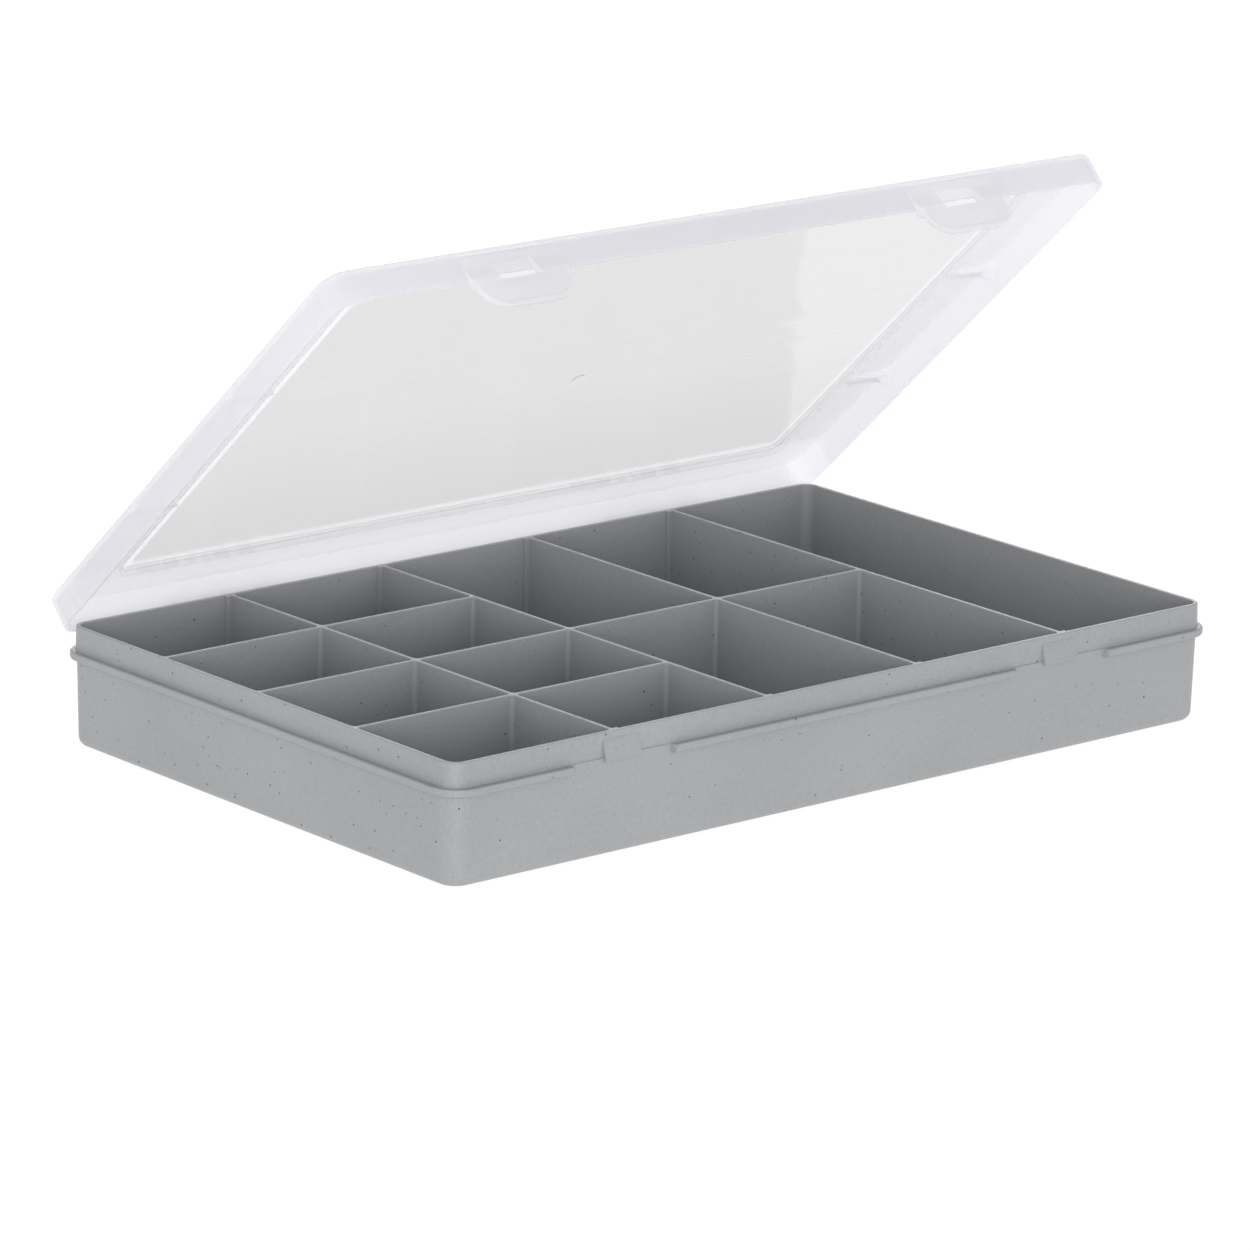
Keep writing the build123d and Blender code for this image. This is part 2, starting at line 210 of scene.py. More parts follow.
def inside(point, loop):
    """True if a flat point lies inside a closed loop of flat points."""
    x, y = point
    found = False
    for (ax, ay), (bx, by) in zip(loop, loop[1:] + loop[:1]):
        if (ay > y) != (by > y) and x < ax + (y - ay) * (bx - ax) / (by - ay):
            found = not found
    return found


def cap(bm, outer, holes, flat):
    """Fills a flat area between an outer loop and its holes with triangles."""
    loops = [outer] + holes
    flat_loops = [[flat(vert.co) for vert in loop] for loop in loops]
    points = [p for loop in flat_loops for p in loop]
    verts = [vert for loop in loops for vert in loop]
    edges, start = [], 0
    for loop in loops:
        edges += [(start + i, start + (i + 1) % len(loop)) for i in range(len(loop))]
        start += len(loop)
    result = delaunay_2d_cdt([Vector(p) for p in points], edges, [], 0, 1e-6)
    places, faces, origins = result[0], result[2], result[3]
    for face in faces:
        middle = sum((places[i] for i in face), Vector((0, 0))) / len(face)
        if not inside(middle, flat_loops[0]):
            continue
        if any(inside(middle, hole) for hole in flat_loops[1:]):
            continue
        bm.faces.new([verts[origins[i][0]] for i in face])


def seen_from_above(point):
    return point.x, point.y


def seen_from_front(point):
    return point.x, point.z


def arc(centre_a, centre_b, radius, first, last, steps=ARC_STEPS):
    """Points (a, b) on a circle from one angle to another, in degrees."""
    angles = [math.radians(first + (last - first) * k / steps) for k in range(steps + 1)]
    return [(centre_a + radius * math.cos(a), centre_b + radius * math.sin(a)) for a in angles]


def slab(outline, start, end, place, holes=(), bevel=0.0):
    """A flat outline given thickness. place(a, b, depth) puts each of its points."""
    bm = bmesh.new()
    ends = []
    for depth in (start, end):
        ends.append([[bm.verts.new(place(a, b, depth)) for a, b in loop] for loop in (outline, *holes)])
    for near, far in zip(*ends):
        for i in range(len(near)):
            j = (i + 1) % len(near)
            bm.faces.new((near[i], near[j], far[j], far[i]))
    for loops in ends:
        if holes:
            cap(bm, loops[0], loops[1:], seen_from_front)
        else:
            bm.faces.new(loops[0])
    bmesh.ops.recalc_face_normals(bm, faces=bm.faces)
    if bevel:
        sharp = [e for e in bm.edges if e.is_manifold and e.calc_face_angle() > math.radians(35)]
        bmesh.ops.bevel(
            bm, geom=sharp, offset=bevel, segments=2, affect="EDGES", profile=0.5, clamp_overlap=True
        )
    return bm


def level(a, b, depth):
    """Places an (x, y) outline at this height."""
    return Vector((a, b, depth))


def across_x(a, b, depth):
    """Places a (y, z) outline at this x."""
    return Vector((depth, a, b))


def across_y(a, b, depth):
    """Places an (x, z) outline this far outside the mouth's front edge."""
    return Vector((a, -HALF_D - depth, b))


def add_piece(bm, name):
    """Makes an object in metres from a mesh in millimetres."""
    bmesh.ops.recalc_face_normals(bm, faces=bm.faces)
    bmesh.ops.scale(bm, vec=(MM, MM, MM), verts=bm.verts)
    mesh = bpy.data.meshes.new(name)
    bm.to_mesh(mesh)
    bm.free()
    piece = bpy.data.objects.new(name, mesh)
    bpy.context.scene.collection.objects.link(piece)
    return piece


def combine(piece, others, operation):
    """Joins other pieces to this one, or cuts them out of it, and removes them."""
    for other in others:
        modifier = piece.modifiers.new("combine", "BOOLEAN")
        modifier.object = other
        modifier.operation = operation
        modifier.solver = "EXACT"
    graph = bpy.context.evaluated_depsgraph_get()
    mesh = bpy.data.meshes.new_from_object(piece.evaluated_get(graph))
    piece.modifiers.clear()
    piece.data = mesh
    for other in others:
        bpy.data.objects.remove(other)
    return piece


def finish_piece(piece, body, slot, material, *nodes, sharp=38.0):
    """Shading, material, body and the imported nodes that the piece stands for."""
    mesh = piece.data
    mesh.materials.clear()
    mesh.materials.append(material)
    for face in mesh.polygons:
        face.use_smooth = True
        face.material_index = 0
    mesh.set_sharp_from_angle(angle=math.radians(sharp))
    weighted = piece.modifiers.new("even_shading", "WEIGHTED_NORMAL")
    weighted.keep_sharp = True
    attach(piece, body)
    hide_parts(*nodes)
    return piece


# ---------------------------------------------------------------- materials

def new_material(name):
    """An empty node material and a function that adds a node with its settings."""
    material = bpy.data.materials.new(name)
    material.use_nodes = True
    tree = material.node_tree
    tree.nodes.clear()

    def node(kind, inputs=(), **settings):
        made = tree.nodes.new(kind)
        for key, value in settings.items():
            setattr(made, key, value)
        for key, value in dict(inputs).items():
            if isinstance(value, bpy.types.NodeSocket):
                tree.links.new(value, made.inputs[key])
            else:
                made.inputs[key].default_value = value
        return made

    return material, node


def blended(node, factor, a, b, how="MIX"):
    """The colour output of a colour mix."""
    mix = node("ShaderNodeMix", data_type="RGBA", blend_type=how)
    for socket, value in zip((mix.inputs[0], mix.inputs[6], mix.inputs[7]), (factor, a, b)):
        if isinstance(value, bpy.types.NodeSocket):
            mix.id_data.links.new(value, socket)
        else:
            socket.default_value = value
    return mix.outputs[2]


def ranged(node, value, low, high, to_low=0.0, to_high=1.0):
    """A value mapped from one range to another and clamped."""
    numbers = {"Value": value, "From Min": low, "From Max": high, "To Min": to_low, "To Max": to_high}
    return node("ShaderNodeMapRange", numbers).outputs[0]


def maths(node, how, a, b=0.0, c=0.0):
    """The output of one sum."""
    return node("ShaderNodeMath", {0: a, 1: b, 2: c}, operation=how).outputs[0]


def specks(node, place, spacing, size, share, edge=0.3):
    """A mask of small ragged spots: this share of the cells holds one, of up to this radius."""
    cells = node("ShaderNodeTexVoronoi", {"Vector": place, "Scale": 1 / spacing})
    chance = node("ShaderNodeSeparateColor", {"Color": cells.outputs["Color"]}).outputs["Red"]
    reach = ranged(node, chance, 1 - share, 1.0, 0.0, size / spacing)
    wobble = node("ShaderNodeTexNoise", {"Vector": place, "Scale": 2600.0, "Detail": 1.0}).outputs["Fac"]
    ragged = maths(node, "MULTIPLY_ADD", wobble, 0.5 * size / spacing, -0.25 * size / spacing)
    depth = maths(node, "SUBTRACT", maths(node, "SUBTRACT", reach, cells.outputs["Distance"]), ragged)
    return ranged(node, depth, 0.0, edge * size / spacing)


def grey_plastic():
    """Satin grey polypropylene with sparse dark specks and a few pale ones."""
    material, node = new_material("grey_speckled_polypropylene")
    place = node("ShaderNodeTexCoord").outputs["Object"]
    cloud = node("ShaderNodeTexNoise", {"Vector": place, "Scale": 20.0, "Detail": 3.0}).outputs["Fac"]
    grain = node("ShaderNodeTexNoise", {"Vector": place, "Scale": 1100.0, "Detail": 2.0}).outputs["Fac"]
    colour = blended(node, ranged(node, cloud, 0.35, 0.65), GREY_LOW, GREY_HIGH)
    mottle = ranged(node, grain, 0.3, 0.7, 0.95, 1.05)
    shade = node("ShaderNodeCombineColor", dict.fromkeys((0, 1, 2), mottle)).outputs[0]
    colour = blended(node, 1.0, colour, shade, "MULTIPLY")
    colour = blended(node, specks(node, place, *PALE_SPECKS), colour, PALE_SPECK)
    colour = blended(node, specks(node, place, *DIM_SPECKS), colour, DIM_SPECK)
    colour = blended(node, specks(node, place, *DARK_SPECKS), colour, DARK_SPECK)
    height = node("ShaderNodeTexNoise", {"Vector": place, "Scale": 2200.0, "Detail": 3.0}).outputs["Fac"]
    bump = node("ShaderNodeBump", {"Strength": 0.12, "Distance": 0.0002, "Height": height})
    shader = node(
        "ShaderNodeBsdfPrincipled",
        {
            "Base Color": colour,
            "Roughness": ranged(node, grain, 0.3, 0.7, 0.36, 0.46),
            "IOR": 1.49,
            "Normal": bump.outputs[0],
        },
    )
    node("ShaderNodeOutputMaterial", {"Surface": shader.outputs[0]})
    return material


def facing_gloss(node, least, most):
    """How mirror-like a plastic surface is: least head on, and most where it is seen edge on."""
    edge_on = node("ShaderNodeLayerWeight", {"Blend": 0.5}).outputs["Facing"]
    return maths(node, "MULTIPLY_ADD", maths(node, "POWER", edge_on, 5.0), most - least, least)


def clear_surface(node, haze_shader, haze, gloss, gloss_roughness, bump, tint):
    """A clear plastic skin: what is behind shows through, under a little haze and a mirror film."""
    through = node("ShaderNodeBsdfTransparent", {"Color": tint})
    body = node("ShaderNodeMixShader", {0: haze, 1: through.outputs[0], 2: haze_shader})
    amount = facing_gloss(node, *gloss)
    film = node("ShaderNodeBsdfAnisotropic", {"Roughness": gloss_roughness, "Normal": bump})
    mixed = node("ShaderNodeMixShader", {0: amount, 1: body.outputs[0], 2: film.outputs[0]})
    node("ShaderNodeOutputMaterial", {"Surface": mixed.outputs[0]})


def shut_place(node):
    """A point of the lid as it is when the lid is shut: x along, y in depth, z up, in metres."""
    settings = {"Location": SHUT_METRES.to_translation(), "Rotation": SHUT_METRES.to_euler()}
    place = node("ShaderNodeTexCoord").outputs["Object"]
    return node("ShaderNodeMapping", {"Vector": place, **settings}).outputs[0]


def milk(node, colour, bump):
    """Plastic that scatters as much light forwards as back."""
    front = node("ShaderNodeBsdfDiffuse", {"Color": colour, "Normal": bump})
    behind = node("ShaderNodeBsdfTranslucent", {"Color": colour, "Normal": bump})
    return node("ShaderNodeMixShader", {0: 0.5, 1: front.outputs[0], 2: behind.outputs[0]}).outputs[0]


def frosted_plastic(name, low, high, haziness):
    """Natural polypropylene with a fine matt texture, milky with a faint lilac cast. Painted light clears the
    lid's back border and painted shade greys its back skirt.
    """
    material, node = new_material(name)
    place = node("ShaderNodeTexCoord").outputs["Object"]
    cloud = node("ShaderNodeTexNoise", {"Vector": place, "Scale": 14.0, "Detail": 3.0}).outputs["Fac"]
    grain = node("ShaderNodeTexNoise", {"Vector": place, "Scale": 1500.0, "Detail": 2.0}).outputs["Fac"]
    bump = node("ShaderNodeBump", {"Strength": 0.25, "Distance": 0.0002, "Height": grain}).outputs[0]
    colour = blended(node, ranged(node, cloud, 0.3, 0.7), low, high)
    depth = node("ShaderNodeSeparateXYZ", {0: shut_place(node)}).outputs["Y"]
    # Painted light: the back border is made clearer, so more of the bright surroundings shows through it.
    near, far = (WINDOW_Y - 1.0) * MM, (WINDOW_Y + 0.5) * MM
    painted_light_haze = ranged(node, depth, near, far, 0.0, BACK_BORDER_LIGHT_HAZE)
    # Painted shade: the back skirt is made cloudier and greyer, so less of the bright surroundings shows
    # through it.
    near, far = (HALF_D + 0.5) * MM, (HALF_D + 2.0) * MM
    painted_shade_haze = ranged(node, depth, near, far, 0.0, BACK_SKIRT_SHADE_HAZE)
    haze = ranged(node, cloud, 0.2, 0.8, haziness - 0.02, haziness + 0.02)
    haze = maths(node, "ADD", haze, maths(node, "ADD", painted_light_haze, painted_shade_haze))
    colour = blended(node, ranged(node, depth, near, far), colour, BACK_SKIRT_SHADE_MILK)
    clear_surface(node, milk(node, colour, bump), haze, (0.04, 0.35), 0.38, bump, (0.985, 0.985, 0.995, 1))
    return material


def streaks(node, place, scale, turn, detail, distortion):
    """Noise drawn out along one direction, as flow marks are."""
    flow = node("ShaderNodeMapping", {"Vector": place, "Scale": scale, "Rotation": (0.0, 0.0, turn)})
    settings = {"Scale": 1.0, "Detail": detail, "Distortion": distortion}
    return node("ShaderNodeTexNoise", {"Vector": flow.outputs[0], **settings}).outputs["Fac"]


def window_plastic():
    """The polished middle of the lid: clear, glossy and slightly wavy from moulding, with painted shade
    towards the hinge and painted light along its right and back edges.
    """
    material, node = new_material("clear_polypropylene")
    place = shut_place(node)
    split = node("ShaderNodeSeparateXYZ", {0: place}).outputs
    waves = streaks(node, place, (9.0, 26.0, 26.0), 0.18, 1.0, 0.6)
    wisps = streaks(node, place, (18.0, 150.0, 1.0), 0.1, 2.0, 0.8)
    near_middle = ranged(node, maths(node, "ABSOLUTE", split["Y"]), 0.008, 0.035, 1.0, 0.1)
    wisp = maths(node, "MULTIPLY", ranged(node, wisps, 0.5, 0.72), near_middle)
    relief = maths(node, "MULTIPLY_ADD", wisp, 0.12, waves)
    bump = node("ShaderNodeBump", {"Strength": 0.35, "Distance": 0.004, "Height": relief}).outputs[0]
    haze_shader = node("ShaderNodeBsdfTranslucent", {"Color": (0.86, 0.87, 0.87, 1)})
    haze = maths(node, "MULTIPLY_ADD", wisp, 0.06, ranged(node, waves, 0.3, 0.7, 0.03, 0.05))
    # Painted shade: the tint darkens from the middle of the pane to its back edge, by the hinge.
    tint = blended(node, ranged(node, split["Y"], 0.0, WINDOW_Y * MM), CLEAR_HIGH, CLEAR_SHADED)
    # Painted light: the tint fades to nearly clear along the pane's right and back edges, lightening the band
    # where the pane runs under the border.
    right_edge_light = ranged(node, split["X"], (WINDOW_X - 6.0) * MM, (WINDOW_X - 4.5) * MM)
    back_edge_light = ranged(node, split["Y"], (WINDOW_Y - 7.0) * MM, (WINDOW_Y - 5.5) * MM)
    tint = blended(node, maths(node, "MAXIMUM", right_edge_light, back_edge_light), tint, (0.985, 0.985, 0.985, 1))
    clear_surface(node, haze_shader.outputs[0], haze, (0.02, 0.30), 0.02, bump, tint)
    return material


def edge_plastic():
    """The pane's upturned edge, milky where it runs into the frosted border."""
    material, node = new_material("milky_edge_polypropylene")
    place = node("ShaderNodeTexCoord").outputs["Object"]
    cloud = node("ShaderNodeTexNoise", {"Vector": place, "Scale": 60.0, "Detail": 2.0}).outputs["Fac"]
    bump = node("ShaderNodeBump", {"Strength": 0.1, "Distance": 0.0003, "Height": cloud}).outputs[0]
    haze = ranged(node, cloud, 0.3, 0.7, 0.29, 0.31)
    clear_surface(node, milk(node, EDGE_MILK, bump), haze, (0.01, 0.12), 0.2, bump, (0.985, 0.985, 0.99, 1))
    return material


def floor_white():
    """A pale, evenly lit table."""
    material, node = new_material("pale_floor")
    place = node("ShaderNodeTexCoord").outputs["Object"]
    cloud = node("ShaderNodeTexNoise", {"Vector": place, "Scale": 3.0}).outputs["Fac"]
    colour = blended(node, cloud, (0.10, 0.10, 0.10, 1), (0.11, 0.11, 0.11, 1))
    shader = node(
        "ShaderNodeBsdfPrincipled",
        {
            "Base Color": colour,
            "Roughness": 0.9,
            "Emission Color": (1, 1, 1, 1),
            "Emission Strength": FLOOR_GLOW,
        },
    )
    node("ShaderNodeOutputMaterial", {"Surface": shader.outputs[0]})
    return material


grey = grey_plastic()
frosted = frosted_plastic("frosted_polypropylene", MILK_LOW, MILK_HIGH, LID_HAZE)
frosted_tab = frosted_plastic("thick_frosted_polypropylene", MILK_HIGH, TAB_MILK, TAB_HAZE)
clear = window_plastic()
clear_edge = edge_plastic()


# ---------------------------------------------------------------- tray

def tray_loop(offset, radius, z, gap_offset=None):
    """One level of the tray's outside. In the ledge's two gaps it keeps to gap_offset instead."""
    inner, outer = LEDGE_GAP / 2, LEDGE_GAP / 2 + GAP_RAMP
    stations, shares = [], []
    for centre in (-FITTING_X, FITTING_X):
        stations += [centre - outer, centre - inner - GAP_EASE, centre - inner]
        stations += [centre + inner, centre + inner + GAP_EASE, centre + outer]
        shares += [0.0, EASE_SHARE, 1.0, 1.0, EASE_SHARE, 0.0]
    loop = ring(HALF_L + offset, HALF_D + offset, radius, z, stations)
    if gap_offset is not None:
        for point, share in zip(loop, shares):
            point.y += share * (offset - gap_offset)
    return loop


def body_offset(z):
    """How far the body wall stands outside the mouth at this height."""
    return BODY_FOOT + (BODY_OUT - BODY_FOOT) * z / LEDGE_TOP


def tray_outside():
    """Loops from the underside, up the body, round the ledge and up to the rim."""
    loops = []
    corner = BODY_RADIUS - BODY_OUT
    for a, z in arc(-BOTTOM_FILLET, BOTTOM_FILLET, BOTTOM_FILLET, -90, 0):
        offset = body_offset(z) + a
        loops.append(tray_loop(offset, corner + offset, z))
    root = body_offset(LEDGE_ROOT)
    loops.append(tray_loop(root, corner + root, LEDGE_ROOT))
    ledge_corner = LEDGE_RADIUS - LEDGE_OUT
    edge = LEDGE_OUT - LEDGE_ROUND
    ledge = arc(edge, LEDGE_UNDER + LEDGE_ROUND, LEDGE_ROUND, -75, 0, 3)
    ledge += arc(edge, LEDGE_TOP - LEDGE_ROUND, LEDGE_ROUND, 0, 90, 4)
    for offset, z in ledge:
        loops.append(tray_loop(offset, ledge_corner + offset, z, body_offset(z)))
    for offset, z in ((BODY_OUT - 0.08, LEDGE_TOP), (RIM_FOOT + 0.2, LEDGE_TOP), (RIM_FOOT, LEDGE_TOP + 0.2)):
        loops.append(tray_loop(offset, RIM_RADIUS - RIM_EDGE + offset, z))
    for offset, z in arc(RIM_EDGE - RIM_ROUND, RIM_TOP - RIM_ROUND, RIM_ROUND, 0, 90, 4):
        loops.append(tray_loop(offset, RIM_RADIUS - RIM_EDGE + offset, z))
    return loops


def compartments():
    """Each compartment's divider centre lines, or None where the tray's own wall is its side."""
    found = []
    columns = [None] + [(low.x + high.x) / 2 for low, high in long_dividers] + [None]
    for number, (left, right) in enumerate(zip(columns, columns[1:]), 1):
        short = [corners(f"{row}_row_divider_{number}") for row in ("front", "middle", "rear")
                 if f"{row}_row_divider_{number}" in frame["nodes"]]
        rows = [None] + [(low.y + high.y) / 2 for low, high in short] + [None]
        for front, back in zip(rows, rows[1:]):
            found.append((left, right, front, back))
    return found


def pocket_loop(pocket, z, inset):
    """A compartment's outline at one height, inset from its drafted walls."""
    lean = (DIVIDER_FOOT - DIVIDER_TOP) / 2 * (RIM_TOP - z) / (RIM_TOP - FLOOR_TOP)
    limits = []
    for line, wall, sign in zip(pocket, (-HALF_L, HALF_L, -HALF_D, HALF_D), (1, -1, 1, -1)):
        if line is None:
            limits.append(wall + sign * inset)
        else:
            limits.append(line + sign * (DIVIDER_TOP / 2 + lean + inset))
    left, right, front, back = pocket
    radii = []
    for across, along in ((right, front), (right, back), (left, back), (left, front)):
        at_corner = across is None and along is None
        radii.append(max((MOUTH_RADIUS if at_corner else POCKET_RADIUS) - inset, 0.12))
    return corner_arcs(*limits, radii, z)


def make_tray():
    """The whole tray as one closed moulding."""
    bm = bmesh.new()
    outside = skin(bm, tray_outside())
    bm.faces.new(outside[0])
    mouths = []
    for pocket in compartments():
        loops = []
        for a, z in arc(0, RIM_TOP - DIVIDER_ROUND, DIVIDER_ROUND, 90, 0, 4):
            loops.append(pocket_loop(pocket, z, a - DIVIDER_ROUND))
        for a, z in arc(0, FLOOR_TOP + POCKET_FILLET, POCKET_FILLET, 0, -90):
            loops.append(pocket_loop(pocket, z, POCKET_FILLET - a))
        made = skin(bm, loops)
        bm.faces.new(made[-1])
        mouths.append(made[0])
    cap(bm, outside[-1], mouths, seen_from_above)
    return add_piece(bm, "tray_moulding")


def make_posts():
    """Slim square posts beside the ends of the long dividers."""
    posts = []
    for low, high in long_dividers:
        x = (low.x + high.x) / 2
        reach = DIVIDER_TOP / 2 + POST_WIDTH
        back = (x - reach, x, HALF_D - POST_DEPTH, HALF_D + POST_SINK)
        front = (x, x + reach, -HALF_D - POST_SINK, POST_DEPTH - HALF_D)
        for x0, x1, y0, y1 in (back, front):
            outline = [(x0, y0), (x1, y0), (x1, y1), (x0, y1)]
            bm = slab(outline, FLOOR_TOP - POST_SINK, RIM_TOP - HAIR, level, bevel=0.25)
            posts.append(add_piece(bm, "post"))
    return posts


def make_catches():
    """Wedges on the rim that the latch holes snap over."""
    wall = -HALF_D - RIM_EDGE + WALL_SINK
    for hand, x in (("left", -FITTING_X), ("right", FITTING_X)):
        low, high = corners(f"latch_catch_{hand}")
        outline = [
            (wall, high.z),
            (-HALF_D - RIM_EDGE - CATCH_LIP, high.z),
            (low.y, low.z + CATCH_NOSE),
            (low.y, low.z),
            (wall, low.z),
        ]
        bm = slab(outline, x - (high.x - low.x) / 2, x + (high.x - low.x) / 2, across_x, bevel=0.22)
        piece = add_piece(bm, f"latch_wedge_{hand}")
        finish_piece(piece, "tray", "tray_grey", grey, f"latch_catch_{hand}")


def make_hinge_lugs():
    """Four lugs a side that carry each pin, and the pin itself."""
    wall = HALF_D + BODY_FOOT - WALL_SINK
    for hand, x in (("left", -FITTING_X), ("right", FITTING_X)):
        root = corners(f"hinge_lugs_{hand}")[0].z
        outline = [(wall, LEDGE_TOP)] + arc(HINGE_Y, HINGE_Z, LUG_RADIUS, 165, -75, 16) + [(wall, root)]
        lugs = []
        for place in LUG_PLACES:
            start = x + place - LUG_WIDTH / 2
            lugs.append(add_piece(slab(outline, start, start + LUG_WIDTH, across_x, bevel=0.25), "lug"))
        lugs = combine(lugs[0], lugs[1:], "UNION")
        lugs.name = f"hinge_lug_set_{hand}"
        finish_piece(lugs, "tray", "tray_grey", grey, f"hinge_lugs_{hand}")
        round_bar = arc(HINGE_Y, HINGE_Z, PIN_RADIUS - HAIR, 0, 360 - 360 / 32, 31)
        pin = slab(round_bar, x - PIN_HALF, x + PIN_HALF, across_x, bevel=0.15)
        finish_piece(add_piece(pin, f"hinge_bar_{hand}"), "tray", "tray_grey", grey, f"hinge_pin_{hand}")


# ---------------------------------------------------------------- lid

def lid_section():
    """The lid's cut face as (distance out, corner radius, height): outside first, then the inside."""
    def from_mouth(out, z):
        return HALF_L + out, HALF_D + out, LID_RADIUS - LID_OUT + out, z

    def from_window(out, z):
        return WINDOW_X + out, WINDOW_Y + out, WINDOW_RADIUS + out, z

    edge, step, inner = EDGE_ROUND, STEP_ROUND, INNER_ROUND
    shoulder = arc(LID_OUT - LID_FILLET, LID_TOP - LID_FILLET, LID_FILLET, 0, 90, 6)
    section = [from_mouth(a, z) for a, z in arc(LID_OUT - edge, SKIRT_BOTTOM + edge, edge, -90, 0, 2)]
    section += [from_mouth(a, z) for a, z in shoulder]
    section += [from_window(step - a, z) for a, z in arc(0, LID_TOP - step, step, 90, 0, 3)]
    section += [from_window(a, z) for a, z in arc(edge, BORDER_UNDER + edge, edge, 180, 270, 2)]
    section += [from_mouth(a, z) for a, z in arc(SKIRT_IN - inner, BORDER_UNDER - inner, inner, 90, 0, 4)]
    section += [from_mouth(a, z) for a, z in arc(SKIRT_IN + edge, SKIRT_BOTTOM + edge, edge, 180, 270, 2)]
    return section


def make_gussets():
    """Three-cornered ribs under the border at the sides, each with a pointed foot on the skirt."""
    ribs = []
    for side in (-1, 1):
        apex, root = side * (WINDOW_X + LIP_WIDTH + 0.1), side * (HALF_L + SKIRT_IN + WALL_SINK)
        for y in RIB_PLACES:
            start, end = y - RIB_WIDTH / 2, y + RIB_WIDTH / 2
            outline = [(apex, y - 0.15), (root, start), (root, end), (apex, y + 0.15)]
            bm = slab(outline, WINDOW_UNDER + 0.1, BORDER_UNDER + WALL_SINK, level, bevel=0.15)
            ribs.append(add_piece(bm, "rib"))
            foot = [(start, BORDER_UNDER + WALL_SINK), (start, RIB_SIDE), (start + 0.3 * RIB_WIDTH, RIB_FOOT)]
            foot += [(end, RIB_SIDE), (end, BORDER_UNDER + WALL_SINK)]
            ribs.append(add_piece(slab(foot, root - side * 0.8, root, across_x, bevel=0.15), "foot"))
    return ribs


def make_claws():
    """Narrow open hooks on the back skirt that clip over the hinge bars."""
    lip_outer = math.degrees(math.asin(CLAW_MOUTH / CLAW_RADIUS))
    lip_inner = math.degrees(math.asin(CLAW_MOUTH / CLAW_GRIP))
    under = math.degrees(math.asin((ARM_BOTTOM - HINGE_Z) / CLAW_RADIUS))
    start = HALF_D + SKIRT_IN + 0.5
    slope = (ARM_TOP - HINGE_Z - CLAW_RADIUS) / (HINGE_Y - HALF_D - LID_OUT)
    outline = arc(HINGE_Y, HINGE_Z, CLAW_RADIUS, lip_outer - 90, 90, 14)
    outline += [(start, ARM_TOP + slope * (HALF_D + LID_OUT - start)), (start, ARM_BOTTOM)]
    outline += arc(HINGE_Y, HINGE_Z, CLAW_RADIUS, 180 - under, 270 - lip_outer, 8)
    outline += arc(HINGE_Y, HINGE_Z, CLAW_GRIP, 270 - lip_inner, lip_inner - 90, 16)
    claws = []
    for name in nodes_named("hinge_claw_"):
        low, high = corners(name, SHUT)
        claws.append(add_piece(slab(outline, low.x, high.x, across_x, bevel=0.2), "claw"))
    return claws


def tab_outline(grow=0.0, top=None):
    """Front view of a pull tab: straight at the top, then two wide corners."""
    top = TAB_HIGH if top is None else top
    low, half, radius = TAB_LOW - grow, TAB_HALF + grow, TAB_CORNER + grow
    points = [(-half, top)]
    points += arc(-half + radius, low + radius, radius, 180, 270, 12)
    points += arc(half - radius, low + radius, radius, 270, 360, 12)
    return points + [(half, top)]


def swell(z, top, foot):
    """How far a face of the tab has swollen outwards at this height, in an easy curve."""
    share = min(max((top - z) / (top - foot), 0.0), 1.0)
    return TAB_SWELL * share * share * (3 - 2 * share)


def make_tab(hand, x):
    """A pull tab that swells outwards below, with its latch hole and the bead along its edge."""
    wide, narrow = HOLE_WIDE / 2, HOLE_NARROW / 2
    hole = [(x - wide, HOLE_LOW), (x - narrow, HOLE_HIGH), (x + narrow, HOLE_HIGH), (x + wide, HOLE_LOW)]
    bm = slab([(x + a, z) for a, z in tab_outline()], SKIRT_IN, LID_OUT, across_y, holes=[hole], bevel=0.12)
    for number in range(1, TAB_LEVELS):
        height = INNER_FOOT + (SWELL_TOP - INNER_FOOT) * number / TAB_LEVELS
        everything = [*bm.verts, *bm.edges, *bm.faces]
        bmesh.ops.bisect_plane(bm, geom=everything, plane_co=(0, 0, height), plane_no=(0, 0, 1))
    for vert in bm.verts:
        z = vert.co.z
        share = (-vert.co.y - HALF_D - SKIRT_IN) / SKIRT_THICKNESS
        outer, inner = swell(z, SWELL_TOP, SWELL_FOOT), swell(z, INNER_TOP, INNER_FOOT)
        vert.co.y -= share * outer + (1 - share) * inner
    plate = add_piece(bm, f"pull_tab_{hand}_moulding")
    section = [(0.05, -0.3), (0.05, 0.6 * BEAD_OUT), (0.3, BEAD_OUT), (BEAD_WIDTH - 0.5, BEAD_OUT)]
    section += [(BEAD_WIDTH, 0.2 * BEAD_OUT), (BEAD_WIDTH, -0.3)]
    loops = []
    for (ax, az), (bx, bz) in zip(tab_outline(top=SKIRT_BOTTOM), tab_outline(-1.0, SKIRT_BOTTOM)):
        loop = []
        for across, out in section:
            z = az + across * (bz - az)
            face = LID_OUT + swell(z, SWELL_TOP, SWELL_FOOT)
            loop.append(across_y(x + ax + across * (bx - ax), z, face + out))
        loops.append(loop)
    bm = bmesh.new()
    made = skin(bm, loops)
    bm.faces.new(made[0])
    bm.faces.new(made[-1])
    combine(plate, [add_piece(bm, "bead")], "UNION")
    plate.data.transform(OPEN_METRES)
    finish_piece(plate, f"latch_{hand}", "lid_frosted", frosted_tab, f"pull_tab_{hand}")


